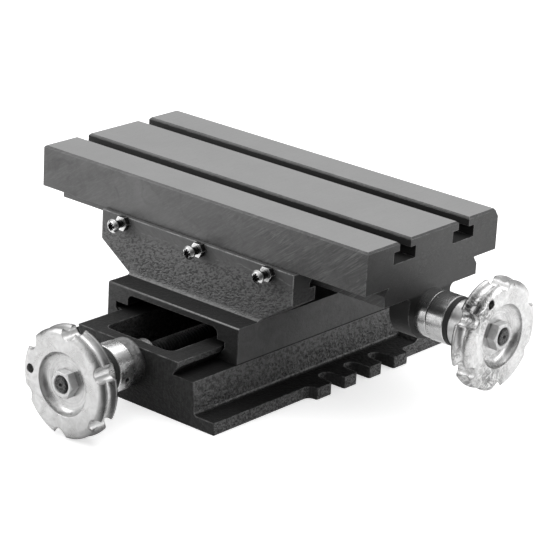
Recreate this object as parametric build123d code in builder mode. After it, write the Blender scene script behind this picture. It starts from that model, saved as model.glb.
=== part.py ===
"""Compound cross slide table: two dovetail slides at right angles, each driven by a
leadscrew with a handwheel and a graduated dial.

Millimetres, +Z up. The origin is the centre of the base's foot, +X runs along the table
towards its handwheel and -Y points at the lower handwheel.
"""
import os
from math import radians, sin, sqrt, tan

from build123d import *

os.makedirs("parts", exist_ok=True)

# Heights of the stacked castings, each measured from the one below
foot_thick = 9.0
body_high = 24.1
y_rib_blunt = 6.5
y_rib_high = 10.2
saddle_foot_gap = 0.2
slab_thick = 27.2
channel_high = 29.3
x_rib_high = 13.7
table_thick = 31.4

# Clearances: slides and shafts run, bushes and bolts only have to go in
slide_gap = 0.08
shaft_gap = 0.05
push_gap = 0.02
bolt_gap = 0.15
end_gap = 0.1

# Dovetails: the flanks lean at this angle from the horizontal
dovetail_angle = 55.0

# Table
table_long = 310.0
table_wide = 147.1
table_offset_x = -3.2
t_slot_y = 33.0
t_slot_neck = 12.0
t_slot_neck_deep = 6.5
t_slot_wide = 24.0
t_slot_deep = 15.2
t_slot_bevel = 1.6
table_edge_bevel = 1.4
back_bevel_y = 4.5
back_bevel_z = 6.5

# Male dovetail under the table
table_overhang = 25.45
x_rib_step = 3.9

# End boss that holds the upper leadscrew
boss_thick = 17.0
boss_radius = 23.7
boss_drop = 11.4
boss_fillet = 4.0

# Saddle
slab_half_x = 63.0
slab_half_y = 98.8
wall_proud = 3.95
wall_half_x = 92.0
wall_play = 1.5
wall_top_gap = 0.4
wing_rise = 19.2
gib_ledge_drop = 0.2
gib_pocket_deep = 6.3
tunnel_land_gap = 4.0
tunnel_roof_thick = 5.0
tunnel_half_x = 43.5
tunnel_corner = 5.0
tunnel_tip_plain = 50.6
tunnel_tip_gib = 55.0
slab_edge_bevel = 0.8
wall_root_fillet = 2.5
wing_edge_fillet = 1.5

# Gib strips and their adjusting screws
gib_thick = 3.6
gib_short = 1.0
x_gib_screw_x = (-69.0, 5.5, 70.0)
x_gib_screw_drop = 4.6
y_gib_screw_y = (-69.0, 0.0, 69.0)
y_gib_screw_rise = 6.3
gib_screw_d = 6.0
gib_point_d = 4.0
gib_point_long = 4.0
gib_dimple_deep = 1.4
gib_screw_reach = 15.6
gib_head_d = 10.4
gib_head_high = 4.0
gib_head_edge = 1.4
gib_nut_flats = 10.0
gib_nut_high = 5.0
cross_long = 6.0
cross_wide = 1.3
cross_deep = 2.0

# Base
base_half_y = 143.3
foot_half_x = 83.5
body_low_half_x = 65.1
body_top_half_x = 62.9
body_root_fillet = 2.0
y_rib_tip = 48.2
rail_inner_x = 32.0
pocket_floor = 9.0
pocket_corner = 6.0
end_wall = 10.0
lug_reach = 7.3
lug_outer_wide = 16.6
lug_fillet = 1.6
lug_root_fillet = 5.0
foot_slot_count = 3
foot_slot_wide = 14.0
foot_slot_pitch = 28.4
foot_slot_centre_y = 9.4
foot_slot_end_x = 73.8
pad_start_y = 85.0
pad_high = 6.0
pad_fillet = 4.0

# Leadscrews, drawn at their outside size
screw_d = 14.0
x_screw_drop = 15.1
y_screw_drop = 13.7
x_screw_inner = 290.0
y_screw_inner = 212.0
stud_d = 12.0
stud_start_in = 1.5
screw_end_proud = 0.7
screw_bevel = 1.0

# Stack on each leadscrew, measured outwards from the casting's end face
seat_long = 10.0
seat_radius = 17.5
dial_long = 14.7
dial_radius = 18.0
dial_bevel = 0.6
ring_long = 4.0
ring_radius = 17.7
hub_long = 19.5
hub_radius = 17.3
spigot_radius = 12.0
bush_radius = 10.0
sleeve_radius = 11.0
collar_radius = 12.0
collar_long = 8.0
collar_pin_d = 4.0
collar_pin_short = 0.5

# Handwheel
wheel_radius = 40.0
rim_thick = 15.0
rear_round = 3.0
rear_lip = 0.6
groove_wide = 8.4
groove_deep = 2.6
front_lip = 0.4
front_lip_radius = 39.4
face_radius = 34.4
shoulder_radius = 9.0
recess_radius = 23.0
hub_flat_radius = 16.5
recess_deep = 6.0
notch_count = 6
notch_radius = 5.75
notch_centre = 38.9
handle_hole_radius = 31.5
handle_hole_d = 6.8
hub_flare = 5.0
key_wide = 4.0
key_high = 4.0
key_long = 14.0
key_sunk = 2.5
key_end_in = 4.0
wheel_nut_flats = 18.0
wheel_nut_high = 7.0
wheel_nut_bevel = 0.9
wheel_nut_mouth = 1.0
x_wheel_turn = 30.8
y_wheel_turn = 85.7
handle_hole_turn = 90.0

# Feed nuts and the cap screws that hold them to the saddle
nut_half_long = 15.0
x_nut_half_y = 19.5
x_nut_gap = 5.0
x_nut_bolt_y = 13.6
x_nut_head_sunk = 7.0
y_nut_half_x = 13.0
y_nut_drop = 9.8
y_nut_flange_half_x = 28.5
y_nut_flange_thick = 6.0
y_nut_bolt_x = 22.6
nut_fillet = 3.0
cap_d = 6.0
cap_head_d = 10.0
cap_head_high = 6.0
cap_socket = 5.0
cap_socket_deep = 3.0
cap_head_gap = 0.4
cap_end_short = 0.3

# Dial lock screws
lock_d = 4.0
lock_slot_wide = 0.8
lock_slot_deep = 1.0
lock_sunk = 0.4
lock_foot_gap = 0.3
x_lock_turn = -60.0
y_lock_turn = -13.0

# Sizes worked out from those above
flank_run = 1 / tan(radians(dovetail_angle))
flank_slant = 1 / sin(radians(dovetail_angle))
base_shoulder_z = foot_thick + body_high
y_rib_blunt_z = base_shoulder_z + y_rib_blunt
y_rib_top_z = base_shoulder_z + y_rib_high
saddle_foot_z = base_shoulder_z + saddle_foot_gap
saddle_floor_z = saddle_foot_z + slab_thick
rib_bottom_z = saddle_floor_z + channel_high
table_bottom_z = rib_bottom_z + x_rib_high
table_top_z = table_bottom_z + table_thick
wall_top_z = table_bottom_z - wall_top_gap
wing_low_z = saddle_floor_z + wing_rise
gib_ledge_z = rib_bottom_z - gib_ledge_drop
tunnel_land_z = y_rib_top_z + tunnel_land_gap
tunnel_roof_z = saddle_floor_z - tunnel_roof_thick
x_gib_screw_z = table_bottom_z - x_gib_screw_drop
y_gib_screw_z = base_shoulder_z + y_gib_screw_rise
x_screw_z = rib_bottom_z - x_screw_drop
y_screw_z = y_rib_top_z - y_screw_drop
x_nut_top_z = rib_bottom_z - x_nut_gap
y_nut_bottom_z = y_screw_z - y_nut_drop
table_half_y = table_wide / 2
x_rib_root = table_half_y - table_overhang
x_rib_tip = x_rib_root + x_rib_step
wall_outer_y = table_half_y + wall_proud
wall_inner_y = x_rib_tip + wall_play
gib_pocket_y = wall_inner_y + gib_pocket_deep
table_right_x = table_offset_x + table_long / 2
y_rib_root = y_rib_tip - (y_rib_blunt_z - base_shoulder_z) * flank_run
gib_space = slide_gap + gib_thick + slide_gap
boss_centre_z = rib_bottom_z - boss_drop
boss_neck = sqrt(boss_radius**2 - boss_drop**2)
screw_radius = screw_d / 2
running_radius = screw_radius + shaft_gap
hub_start = seat_long + dial_long + ring_long
wheel_rear = hub_start + hub_long
groove_rear = wheel_rear + rear_round + rear_lip
wheel_face = wheel_rear + rim_thick
hub_flat = wheel_face - recess_deep
nut_face = hub_flat + wheel_nut_high
stud_start = hub_flat - stud_start_in
key_start = hub_flat - key_end_in - key_long

# Each screw's frame stands on its casting's end face, with +Z outwards
x_axis = Plane(origin=(table_right_x, 0, x_screw_z), x_dir=(0, 1, 0), z_dir=(1, 0, 0))
y_axis = Plane(origin=(0, -base_half_y, y_screw_z), x_dir=(1, 0, 0), z_dir=(0, -1, 0))


def write_out(part, name):
    """Label a finished piece and write its STEP file."""
    part.label = name
    export_step(part, f"parts/{name}.step")


def lengthwise(axis):
    """A plane through a screw's axis: sketch X runs outwards and sketch Y is the radius."""
    return Plane(origin=axis.origin, x_dir=axis.z_dir, z_dir=axis.x_dir)


def turned(axis, angle):
    """A screw's frame turned about its own axis."""
    x_dir = axis.x_dir.rotate(Axis((0, 0, 0), axis.z_dir), angle)
    return Plane(origin=axis.origin, x_dir=x_dir, z_dir=axis.z_dir)


def x_flank_y(z, offset=0.0):
    """Half-width of the table's dovetail flank at a height, moved out by an offset."""
    return x_rib_root + (table_bottom_z - z) * flank_run + offset * flank_slant


def y_flank_x(z, offset=0.0):
    """Half-width of the base's dovetail flank at a height, moved out by an offset."""
    return y_rib_root + (z - base_shoulder_z) * flank_run + offset * flank_slant


# Base casting: foot flange, bolting lugs, raised rear pad, body and male dovetail
body_outline = [
    (body_low_half_x, 0),
    (body_low_half_x, foot_thick),
    (body_top_half_x, base_shoulder_z),
    (y_rib_root, base_shoulder_z),
    (y_rib_tip, y_rib_blunt_z),
    (y_rib_tip, y_rib_top_z),
]
foot_slot_run = 2 * (foot_half_x + lug_reach - foot_slot_end_x)
lug_row = (foot_slot_count - 1) * foot_slot_pitch + foot_slot_wide + 2 * lug_outer_wide

with BuildPart() as base:
    with BuildSketch():
        Rectangle(2 * foot_half_x, 2 * base_half_y)
    extrude(amount=foot_thick)
    # Lugs stand out from the flange on both sides
    with BuildSketch():
        with Locations((0, foot_slot_centre_y)):
            Rectangle(2 * (foot_half_x + lug_reach), lug_row)
    extrude(amount=foot_thick)
    lug_roots = base.edges().filter_by(Axis.Z).filter_by(
        lambda edge: abs(abs(edge.center().X) - foot_half_x) < 0.01
        and abs(edge.center().Y - foot_slot_centre_y) < lug_row / 2 + end_gap
    )
    fillet(lug_roots, lug_root_fillet)
    # Body with the male dovetail on top
    with BuildSketch(Plane.XZ):
        with BuildLine():
            Polyline([(-x, z) for x, z in body_outline] + body_outline[::-1], close=True)
        make_face()
    extrude(amount=base_half_y, both=True)
    # Raised pad across the back of the foot
    with BuildSketch(Plane.YZ) as pad:
        with BuildLine():
            Polyline(
                (pad_start_y - pad_high - pad_fillet, foot_thick - end_gap),
                (pad_start_y - pad_high - pad_fillet, foot_thick),
                (pad_start_y - pad_high, foot_thick),
                (pad_start_y, foot_thick + pad_high),
                (base_half_y, foot_thick + pad_high),
                (base_half_y, foot_thick - end_gap),
                close=True,
            )
        make_face()
        fillet(pad.vertices().sort_by(Axis.X)[2:4], pad_fillet)
    extrude(amount=foot_half_x, both=True)
    # The body's sides run into the flange with a fillet
    body_roots = base.edges().filter_by(Axis.Y).filter_by(
        lambda edge: abs(abs(edge.center().X) - body_low_half_x) < end_gap
        and abs(edge.center().Z - foot_thick) < end_gap
    )
    fillet(body_roots, body_root_fillet)
    # Pocket for the leadscrew and its nut
    with BuildSketch(Plane.XY.offset(pocket_floor)):
        RectangleRounded(2 * rail_inner_x, 2 * (base_half_y - end_wall), pocket_corner)
    extrude(amount=y_rib_top_z - pocket_floor, mode=Mode.SUBTRACT)
    # Seat for the dial, with the bush's bore through it and the end wall
    with BuildSketch(y_axis):
        Circle(seat_radius)
    extrude(amount=seat_long)
    with BuildSketch(y_axis.offset(-end_wall)):
        Circle(bush_radius + push_gap)
    extrude(amount=end_wall + seat_long, mode=Mode.SUBTRACT)
    # U-slots between the lugs
    with BuildSketch():
        with GridLocations(
            2 * foot_slot_end_x + foot_slot_run + foot_slot_wide, foot_slot_pitch, 2, foot_slot_count
        ):
            with Locations((0, foot_slot_centre_y)):
                SlotCenterToCenter(foot_slot_run, foot_slot_wide)
    extrude(amount=foot_thick, mode=Mode.SUBTRACT)
    lug_faces = base.faces().filter_by(Axis.X).filter_by(
        lambda face: abs(abs(face.center().X) - foot_half_x - lug_reach) < 0.01
    )
    fillet(lug_faces.edges().filter_by(Axis.Z), lug_fillet)

write_out(base.part, "base")

# Bush that carries the lower leadscrew
with BuildPart() as y_bearing_bush:
    with BuildSketch(y_axis.offset(-end_wall)):
        Circle(bush_radius)
        Circle(running_radius, mode=Mode.SUBTRACT)
    extrude(amount=end_wall + seat_long)

write_out(y_bearing_bush.part, "y_bearing_bush")

# Saddle casting: slab with the female dovetail below and two trapezoid walls above
rear_wall = [
    (wall_outer_y, saddle_foot_z),
    (wall_outer_y, wall_top_z),
    (x_flank_y(wall_top_z, slide_gap), wall_top_z),
    (wall_inner_y, table_bottom_z - (wall_inner_y - x_flank_y(table_bottom_z, slide_gap)) / flank_run),
    (wall_inner_y, saddle_foot_z),
]
front_wall = [
    (-wall_outer_y, saddle_foot_z),
    (-wall_outer_y, wall_top_z),
    (-x_flank_y(wall_top_z, gib_space), wall_top_z),
    (-gib_pocket_y, table_bottom_z - (gib_pocket_y - x_flank_y(table_bottom_z, gib_space)) / flank_run),
    (-gib_pocket_y, gib_ledge_z),
    (-wall_inner_y, gib_ledge_z),
    (-wall_inner_y, saddle_foot_z),
]
wing_cut = [
    (slab_half_x, saddle_foot_z),
    (slab_half_x, saddle_floor_z),
    (wall_half_x, wing_low_z),
    (wall_half_x, saddle_foot_z),
]
plain_tip_z = base_shoulder_z + (tunnel_tip_plain - y_flank_x(base_shoulder_z, slide_gap)) / flank_run
gib_tip_z = base_shoulder_z + (tunnel_tip_gib - y_flank_x(base_shoulder_z, gib_space)) / flank_run
tunnel_outline = [
    (y_flank_x(base_shoulder_z, slide_gap), base_shoulder_z),
    (tunnel_tip_plain, plain_tip_z),
    (tunnel_tip_plain, tunnel_land_z),
    (tunnel_half_x, tunnel_land_z),
    (tunnel_half_x, tunnel_roof_z),
    (-tunnel_half_x, tunnel_roof_z),
    (-tunnel_half_x, tunnel_land_z),
    (-tunnel_tip_gib, tunnel_land_z),
    (-tunnel_tip_gib, gib_tip_z),
    (-y_flank_x(base_shoulder_z, gib_space), base_shoulder_z),
]

with BuildPart() as saddle:
    # Walls, full length first
    with BuildSketch(Plane.YZ):
        for outline in (rear_wall, front_wall):
            with BuildLine():
                Polyline(outline, close=True)
            make_face()
    extrude(amount=wall_half_x, both=True)
    # Wings taper down to the slab's width
    with BuildSketch(Plane.XZ):
        with BuildLine():
            Polyline(wing_cut, close=True)
        make_face()
        mirror(about=Plane.YZ)
    extrude(amount=wall_outer_y, both=True, mode=Mode.SUBTRACT)
    wing_edges = saddle.edges().filter_by(
        lambda edge: abs(abs(edge.center().Y) - wall_outer_y) < end_gap
        and abs(abs(edge.center().X) - (slab_half_x + wall_half_x) / 2) < end_gap
        and edge.center().Z < wing_low_z
    )
    fillet(wing_edges, wing_edge_fillet)
    # Slab
    with BuildSketch(Plane.XY.offset(saddle_foot_z)):
        Rectangle(2 * slab_half_x, 2 * slab_half_y)
    extrude(amount=saddle_floor_z - saddle_foot_z)
    # The walls' outer faces run into the slab with a fillet
    with BuildSketch(Plane.YZ):
        with BuildLine():
            root_top = (wall_outer_y, saddle_floor_z + wall_root_fillet)
            root_end = (wall_outer_y + wall_root_fillet, saddle_floor_z)
            TangentArc(root_top, root_end, tangent=(0, -1))
            Polyline(root_end, (wall_outer_y, saddle_floor_z), root_top)
        make_face()
        mirror(about=Plane.YZ)
    extrude(amount=slab_half_x, both=True)
    # Tunnel over the base's dovetail and leadscrew
    with BuildSketch(Plane.XZ) as tunnel:
        with BuildLine():
            Polyline(tunnel_outline, close=True)
        make_face()
        fillet(tunnel.vertices().group_by(Axis.Y)[-1], tunnel_corner)
    extrude(amount=slab_half_y, both=True, mode=Mode.SUBTRACT)
    # Holes for the gib screws, tapped through the front wall and the left leg
    with BuildSketch(Plane.XZ.offset(wall_inner_y)):
        with Locations([(x, x_gib_screw_z) for x in x_gib_screw_x]):
            Circle(gib_screw_d / 2 + bolt_gap)
    extrude(amount=wall_outer_y - wall_inner_y, mode=Mode.SUBTRACT)
    with BuildSketch(Plane.YZ.offset(-slab_half_x)):
        with Locations([(y, y_gib_screw_z) for y in y_gib_screw_y]):
            Circle(gib_screw_d / 2 + bolt_gap)
    extrude(amount=slab_half_x - tunnel_half_x, mode=Mode.SUBTRACT)
    # Holes for the feed nuts' screws
    with BuildSketch(Plane.XY.offset(tunnel_roof_z)):
        with Locations((0, x_nut_bolt_y), (0, -x_nut_bolt_y), (y_nut_bolt_x, 0), (-y_nut_bolt_x, 0)):
            Circle(cap_d / 2 + bolt_gap)
    extrude(amount=saddle_floor_z - tunnel_roof_z, mode=Mode.SUBTRACT)
    slab_rim = saddle.edges().filter_by(Axis.X).filter_by_position(
        Axis.Z, saddle_floor_z - end_gap, saddle_floor_z + end_gap
    )
    chamfer([slab_rim.sort_by(Axis.Y)[0], slab_rim.sort_by(Axis.Y)[-1]], slab_edge_bevel)

write_out(saddle.part, "saddle")

# Upper gib: a strip between the front wall and the table's dovetail
x_gib_top_z = wall_top_z - slide_gap
x_gib_low_z = (
    table_bottom_z
    - (gib_pocket_y - 2 * slide_gap - x_flank_y(table_bottom_z, slide_gap + gib_thick)) / flank_run
)
x_dimple_y = x_flank_y(x_gib_screw_z, slide_gap + gib_thick) - gib_dimple_deep

with BuildPart() as x_gib:
    with BuildSketch(Plane.YZ):
        with BuildLine():
            Polyline(
                (-x_flank_y(x_gib_top_z, slide_gap), x_gib_top_z),
                (-x_flank_y(x_gib_top_z, slide_gap + gib_thick), x_gib_top_z),
                (-x_flank_y(x_gib_low_z, slide_gap + gib_thick), x_gib_low_z),
                (-x_flank_y(x_gib_low_z, slide_gap), x_gib_low_z),
                close=True,
            )
        make_face()
    extrude(amount=wall_half_x - gib_short, both=True)
    with BuildSketch(Plane.XZ.offset(x_dimple_y)):
        with Locations([(x, x_gib_screw_z) for x in x_gib_screw_x]):
            Circle(gib_point_d / 2 + bolt_gap)
    extrude(amount=2 * gib_thick, mode=Mode.SUBTRACT)

write_out(x_gib.part, "x_gib")

# Lower gib: a strip between the saddle's left leg and the base's dovetail
y_gib_low_z = saddle_foot_z + slide_gap
y_gib_top_z = (
    base_shoulder_z
    + (tunnel_tip_gib - 2 * slide_gap - y_flank_x(base_shoulder_z, slide_gap + gib_thick)) / flank_run
)
y_dimple_x = y_flank_x(y_gib_screw_z, slide_gap + gib_thick) - gib_dimple_deep

with BuildPart() as y_gib:
    with BuildSketch(Plane.XZ):
        with BuildLine():
            Polyline(
                (-y_flank_x(y_gib_low_z, slide_gap), y_gib_low_z),
                (-y_flank_x(y_gib_low_z, slide_gap + gib_thick), y_gib_low_z),
                (-y_flank_x(y_gib_top_z, slide_gap + gib_thick), y_gib_top_z),
                (-y_flank_x(y_gib_top_z, slide_gap), y_gib_top_z),
                close=True,
            )
        make_face()
    extrude(amount=slab_half_y - gib_short, both=True)
    with BuildSketch(Plane.YZ.offset(-y_dimple_x)):
        with Locations([(y, y_gib_screw_z) for y in y_gib_screw_y]):
            Circle(gib_point_d / 2 + bolt_gap)
    extrude(amount=-2 * gib_thick, mode=Mode.SUBTRACT)

write_out(y_gib.part, "y_gib")


def gib_screws(seats, depth):
    """Adjusting screws with dog points, a pan head and a cross recess, one at each seat.

    A seat is a plane on the casting's face with +Z outwards, and depth is how far below
    it the screw's point ends.
    """
    head_low = gib_screw_reach - gib_head_high
    with BuildPart() as screws:
        for seat in seats:
            with BuildSketch(seat.offset(-depth)):
                Circle(gib_point_d / 2)
            extrude(amount=gib_point_long)
            with BuildSketch(seat.offset(gib_point_long - depth)):
                Circle(gib_screw_d / 2)
            extrude(amount=depth - gib_point_long + head_low)
            with BuildSketch(lengthwise(seat)):
                with BuildLine():
                    edge = (head_low + gib_head_edge, gib_head_d / 2)
                    top = (gib_screw_reach, 0)
                    TangentArc(top, edge, tangent=(0, 1))
                    Polyline(edge, (head_low, gib_head_d / 2), (head_low, 0), top)
                make_face()
            revolve(axis=Axis(seat.origin, seat.z_dir))
            with BuildSketch(seat.offset(gib_screw_reach - cross_deep)):
                Rectangle(cross_long, cross_wide, rotation=45)
                Rectangle(cross_wide, cross_long, rotation=45)
            extrude(amount=cross_deep, mode=Mode.SUBTRACT)
    return screws.part


def gib_lock_nuts(seats):
    """Thin hexagon nuts that lock the adjusting screws, one against each seat."""
    with BuildPart() as nuts:
        for seat in seats:
            with BuildSketch(seat):
                RegularPolygon(gib_nut_flats / 2, 6, major_radius=False)
                Circle(gib_screw_d / 2 + push_gap, mode=Mode.SUBTRACT)
            extrude(amount=gib_nut_high)
    return nuts.part


x_gib_seats = [
    Plane(origin=(x, -wall_outer_y, x_gib_screw_z), x_dir=(1, 0, 0), z_dir=(0, -1, 0))
    for x in x_gib_screw_x
]
y_gib_seats = [
    Plane(origin=(-slab_half_x, y, y_gib_screw_z), x_dir=(0, -1, 0), z_dir=(-1, 0, 0))
    for y in y_gib_screw_y
]
write_out(gib_screws(x_gib_seats, wall_outer_y - x_dimple_y - end_gap), "x_gib_screws")
write_out(gib_lock_nuts(x_gib_seats), "x_gib_lock_nuts")
write_out(gib_screws(y_gib_seats, slab_half_x - y_dimple_x - end_gap), "y_gib_screws")
write_out(gib_lock_nuts(y_gib_seats), "y_gib_lock_nuts")

# Upper feed nut: a block on the saddle's floor, drilled for two sunk cap screws
with BuildPart() as x_feed_nut:
    with BuildSketch(Plane.XY.offset(saddle_floor_z)):
        Rectangle(2 * nut_half_long, 2 * x_nut_half_y)
    extrude(amount=x_nut_top_z - saddle_floor_z)
    fillet(x_feed_nut.edges().filter_by(Axis.X).group_by(Axis.Z)[-1], nut_fillet)
    with BuildSketch(Plane.YZ):
        with Locations((0, x_screw_z)):
            Circle(running_radius)
    extrude(amount=nut_half_long, both=True, mode=Mode.SUBTRACT)
    with Locations((0, x_nut_bolt_y, x_nut_top_z), (0, -x_nut_bolt_y, x_nut_top_z)):
        CounterBoreHole(
            radius=cap_d / 2 + bolt_gap,
            counter_bore_radius=cap_head_d / 2 + cap_head_gap,
            counter_bore_depth=x_nut_head_sunk,
            depth=x_nut_top_z - saddle_floor_z,
        )

write_out(x_feed_nut.part, "x_feed_nut")

# Lower feed nut: a block that hangs from the saddle's tunnel by a flange
with BuildPart() as y_feed_nut:
    with BuildSketch(Plane.XY.offset(y_nut_bottom_z)):
        Rectangle(2 * y_nut_half_x, 2 * nut_half_long)
    extrude(amount=tunnel_roof_z - y_nut_bottom_z)
    fillet(y_feed_nut.edges().filter_by(Axis.Y).group_by(Axis.Z)[0], nut_fillet)
    with BuildSketch(Plane.XY.offset(tunnel_roof_z - y_nut_flange_thick)):
        Rectangle(2 * y_nut_flange_half_x, 2 * nut_half_long)
    extrude(amount=y_nut_flange_thick)
    with BuildSketch(Plane.XZ):
        with Locations((0, y_screw_z)):
            Circle(running_radius)
    extrude(amount=nut_half_long, both=True, mode=Mode.SUBTRACT)
    with Locations((y_nut_bolt_x, 0, tunnel_roof_z), (-y_nut_bolt_x, 0, tunnel_roof_z)):
        Hole(radius=cap_d / 2 + bolt_gap, depth=y_nut_flange_thick)

write_out(y_feed_nut.part, "y_feed_nut")


def cap_screws(places, seat_z, end_z):
    """Socket head cap screws that stand upright: heads seated at seat_z, ends at end_z."""
    with BuildPart() as screws:
        for x, y in places:
            with BuildSketch(Plane.XY.offset(end_z)):
                with Locations((x, y)):
                    Circle(cap_d / 2)
            extrude(amount=seat_z - end_z)
            with BuildSketch(Plane.XY.offset(seat_z)):
                with Locations((x, y)):
                    Circle(cap_head_d / 2)
            extrude(amount=cap_head_high)
            with BuildSketch(Plane.XY.offset(seat_z + cap_head_high - cap_socket_deep)):
                with Locations((x, y)):
                    RegularPolygon(cap_socket / 2, 6, major_radius=False)
            extrude(amount=cap_socket_deep, mode=Mode.SUBTRACT)
    return screws.part


write_out(
    cap_screws(
        [(0, x_nut_bolt_y), (0, -x_nut_bolt_y)],
        x_nut_top_z - x_nut_head_sunk,
        tunnel_roof_z + cap_end_short,
    ),
    "x_feed_nut_screws",
)
write_out(
    cap_screws(
        [(y_nut_bolt_x, 0), (-y_nut_bolt_x, 0)],
        saddle_floor_z,
        tunnel_roof_z - y_nut_flange_thick + cap_end_short,
    ),
    "y_feed_nut_screws",
)

# Table casting: two T-slots on top, the male dovetail and the end boss below
rib_knee_z = table_bottom_z - (x_rib_tip - x_rib_root) / flank_run
table_outline = [
    (-x_rib_tip, rib_bottom_z),
    (x_rib_tip, rib_bottom_z),
    (x_rib_tip, rib_knee_z),
    (x_rib_root, table_bottom_z),
    (table_half_y, table_bottom_z),
    (table_half_y, table_top_z - back_bevel_z),
    (table_half_y - back_bevel_y, table_top_z),
    (-table_half_y + table_edge_bevel, table_top_z),
    (-table_half_y, table_top_z - table_edge_bevel),
    (-table_half_y, table_bottom_z),
    (-x_rib_root, table_bottom_z),
    (-x_rib_tip, rib_knee_z),
]
slot_half_neck = t_slot_neck / 2
t_slot_outline = [
    (slot_half_neck + t_slot_bevel, table_top_z),
    (slot_half_neck, table_top_z - t_slot_bevel),
    (slot_half_neck, table_top_z - t_slot_neck_deep),
    (t_slot_wide / 2, table_top_z - t_slot_neck_deep),
    (t_slot_wide / 2, table_top_z - t_slot_deep),
]

with BuildPart() as table:
    with BuildSketch(Plane.YZ.offset(table_offset_x)):
        with BuildLine():
            Polyline(table_outline, close=True)
        make_face()
        for side in (-1, 1):
            right = [(side * t_slot_y + y, z) for y, z in t_slot_outline]
            left = [(side * t_slot_y - y, z) for y, z in t_slot_outline]
            with BuildLine():
                Polyline(right + left[::-1], close=True)
            make_face(mode=Mode.SUBTRACT)
    extrude(amount=table_long / 2, both=True)
    # Bevel the top edges at both ends
    chamfer(table.edges().filter_by(Axis.Y).group_by(Axis.Z)[-1], table_edge_bevel)
    # End boss, rounded below and run into the dovetail with fillets
    with BuildSketch(Plane.YZ.offset(table_right_x)):
        with Locations((0, boss_centre_z)):
            Circle(boss_radius)
    extrude(amount=-boss_thick)
    fillet(
        table.edges()
        .filter_by(Axis.X)
        .filter_by_position(Axis.Y, -boss_neck - end_gap, boss_neck + end_gap)
        .filter_by_position(Axis.Z, rib_bottom_z - end_gap, rib_bottom_z + end_gap),
        boss_fillet,
    )
    with BuildSketch(Plane.YZ.offset(table_right_x)):
        with Locations((0, x_screw_z)):
            Circle(sleeve_radius + push_gap)
    extrude(amount=-boss_thick, mode=Mode.SUBTRACT)

write_out(table.part, "table")

# Flanged sleeve that carries the upper leadscrew and seats its dial
with BuildPart() as x_bearing_sleeve:
    with BuildSketch(x_axis.offset(-boss_thick)):
        Circle(sleeve_radius)
    extrude(amount=boss_thick)
    with BuildSketch(x_axis):
        Circle(seat_radius)
    extrude(amount=seat_long)
    chamfer(x_bearing_sleeve.edges().group_by(Axis.X)[-1], dial_bevel)
    with BuildSketch(x_axis.offset(-boss_thick)):
        Circle(running_radius)
    extrude(amount=boss_thick + seat_long, mode=Mode.SUBTRACT)

write_out(x_bearing_sleeve.part, "x_bearing_sleeve")


def leadscrew(axis, inner, wall):
    """A leadscrew with a stud for the wheel's nut, a keyway and a hole for its collar's pin."""
    with BuildPart() as screw:
        with BuildSketch(axis.offset(-inner)):
            Circle(screw_radius)
        extrude(amount=inner + stud_start)
        with BuildSketch(axis.offset(stud_start)):
            Circle(stud_d / 2)
        extrude(amount=nut_face + screw_end_proud - stud_start)
        ends = screw.faces().filter_by(GeomType.PLANE).sort_by(Axis(axis.origin, axis.z_dir))
        chamfer([ends[0].edges(), ends[-1].edges()], screw_bevel)
        with BuildSketch(axis.offset(key_start)):
            with Locations((0, screw_radius)):
                Rectangle(key_wide + end_gap, 2 * (key_sunk + push_gap))
        extrude(amount=key_long, mode=Mode.SUBTRACT)
        with BuildSketch(lengthwise(axis)):
            with Locations((-wall - end_gap - collar_long / 2, 0)):
                Circle(collar_pin_d / 2 + push_gap)
        extrude(amount=screw_d, both=True, mode=Mode.SUBTRACT)
    return screw.part


def thrust_collar(axis, wall):
    """A plain collar pinned to the leadscrew against the inside of its bearing."""
    with BuildPart() as collar:
        with BuildSketch(axis.offset(-wall - end_gap - collar_long)):
            Circle(collar_radius)
            Circle(screw_radius + push_gap, mode=Mode.SUBTRACT)
        extrude(amount=collar_long)
        with BuildSketch(lengthwise(axis)):
            with Locations((-wall - end_gap - collar_long / 2, 0)):
                Circle(collar_pin_d / 2 + push_gap)
        extrude(amount=collar_radius, both=True, mode=Mode.SUBTRACT)
    return collar.part


def collar_pin(axis, wall):
    """The straight pin through the thrust collar and the leadscrew."""
    with BuildPart() as pin:
        with BuildSketch(lengthwise(axis)):
            with Locations((-wall - end_gap - collar_long / 2, 0)):
                Circle(collar_pin_d / 2)
        extrude(amount=collar_radius - collar_pin_short, both=True)
    return pin.part


def dial(axis, lock_turn):
    """A graduated ring that turns on the handwheel's spigot, tapped for its lock screw."""
    with BuildPart() as ring:
        with BuildSketch(axis.offset(seat_long + end_gap)):
            Circle(dial_radius)
        extrude(amount=dial_long - 2 * end_gap)
        chamfer(ring.edges().filter_by(GeomType.CIRCLE), dial_bevel)
        with BuildSketch(axis.offset(seat_long)):
            Circle(spigot_radius + shaft_gap)
        extrude(amount=dial_long, mode=Mode.SUBTRACT)
        with BuildSketch(lock_seat(axis, lock_turn)):
            Circle(lock_d / 2 + push_gap)
        extrude(amount=dial_radius, mode=Mode.SUBTRACT)
    return ring.part


def lock_seat(axis, lock_turn):
    """The plane of the dial's lock screw: its +Z points out along a radius of the dial."""
    spoke = turned(axis, lock_turn)
    centre = axis.origin + axis.z_dir * (seat_long + dial_long / 2)
    return Plane(origin=centre, x_dir=axis.z_dir, z_dir=spoke.x_dir)


def dial_lock_screw(axis, lock_turn):
    """A slotted grub screw that holds the dial where it is set."""
    foot = spigot_radius + shaft_gap + lock_foot_gap
    high = dial_radius - lock_sunk
    seat = lock_seat(axis, lock_turn)
    with BuildPart() as grub:
        with BuildSketch(seat.offset(foot)):
            Circle(lock_d / 2)
        extrude(amount=high - foot)
        with BuildSketch(seat.offset(high - lock_slot_deep)):
            Rectangle(lock_d, lock_slot_wide)
        extrude(amount=lock_slot_deep, mode=Mode.SUBTRACT)
    return grub.part


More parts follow.
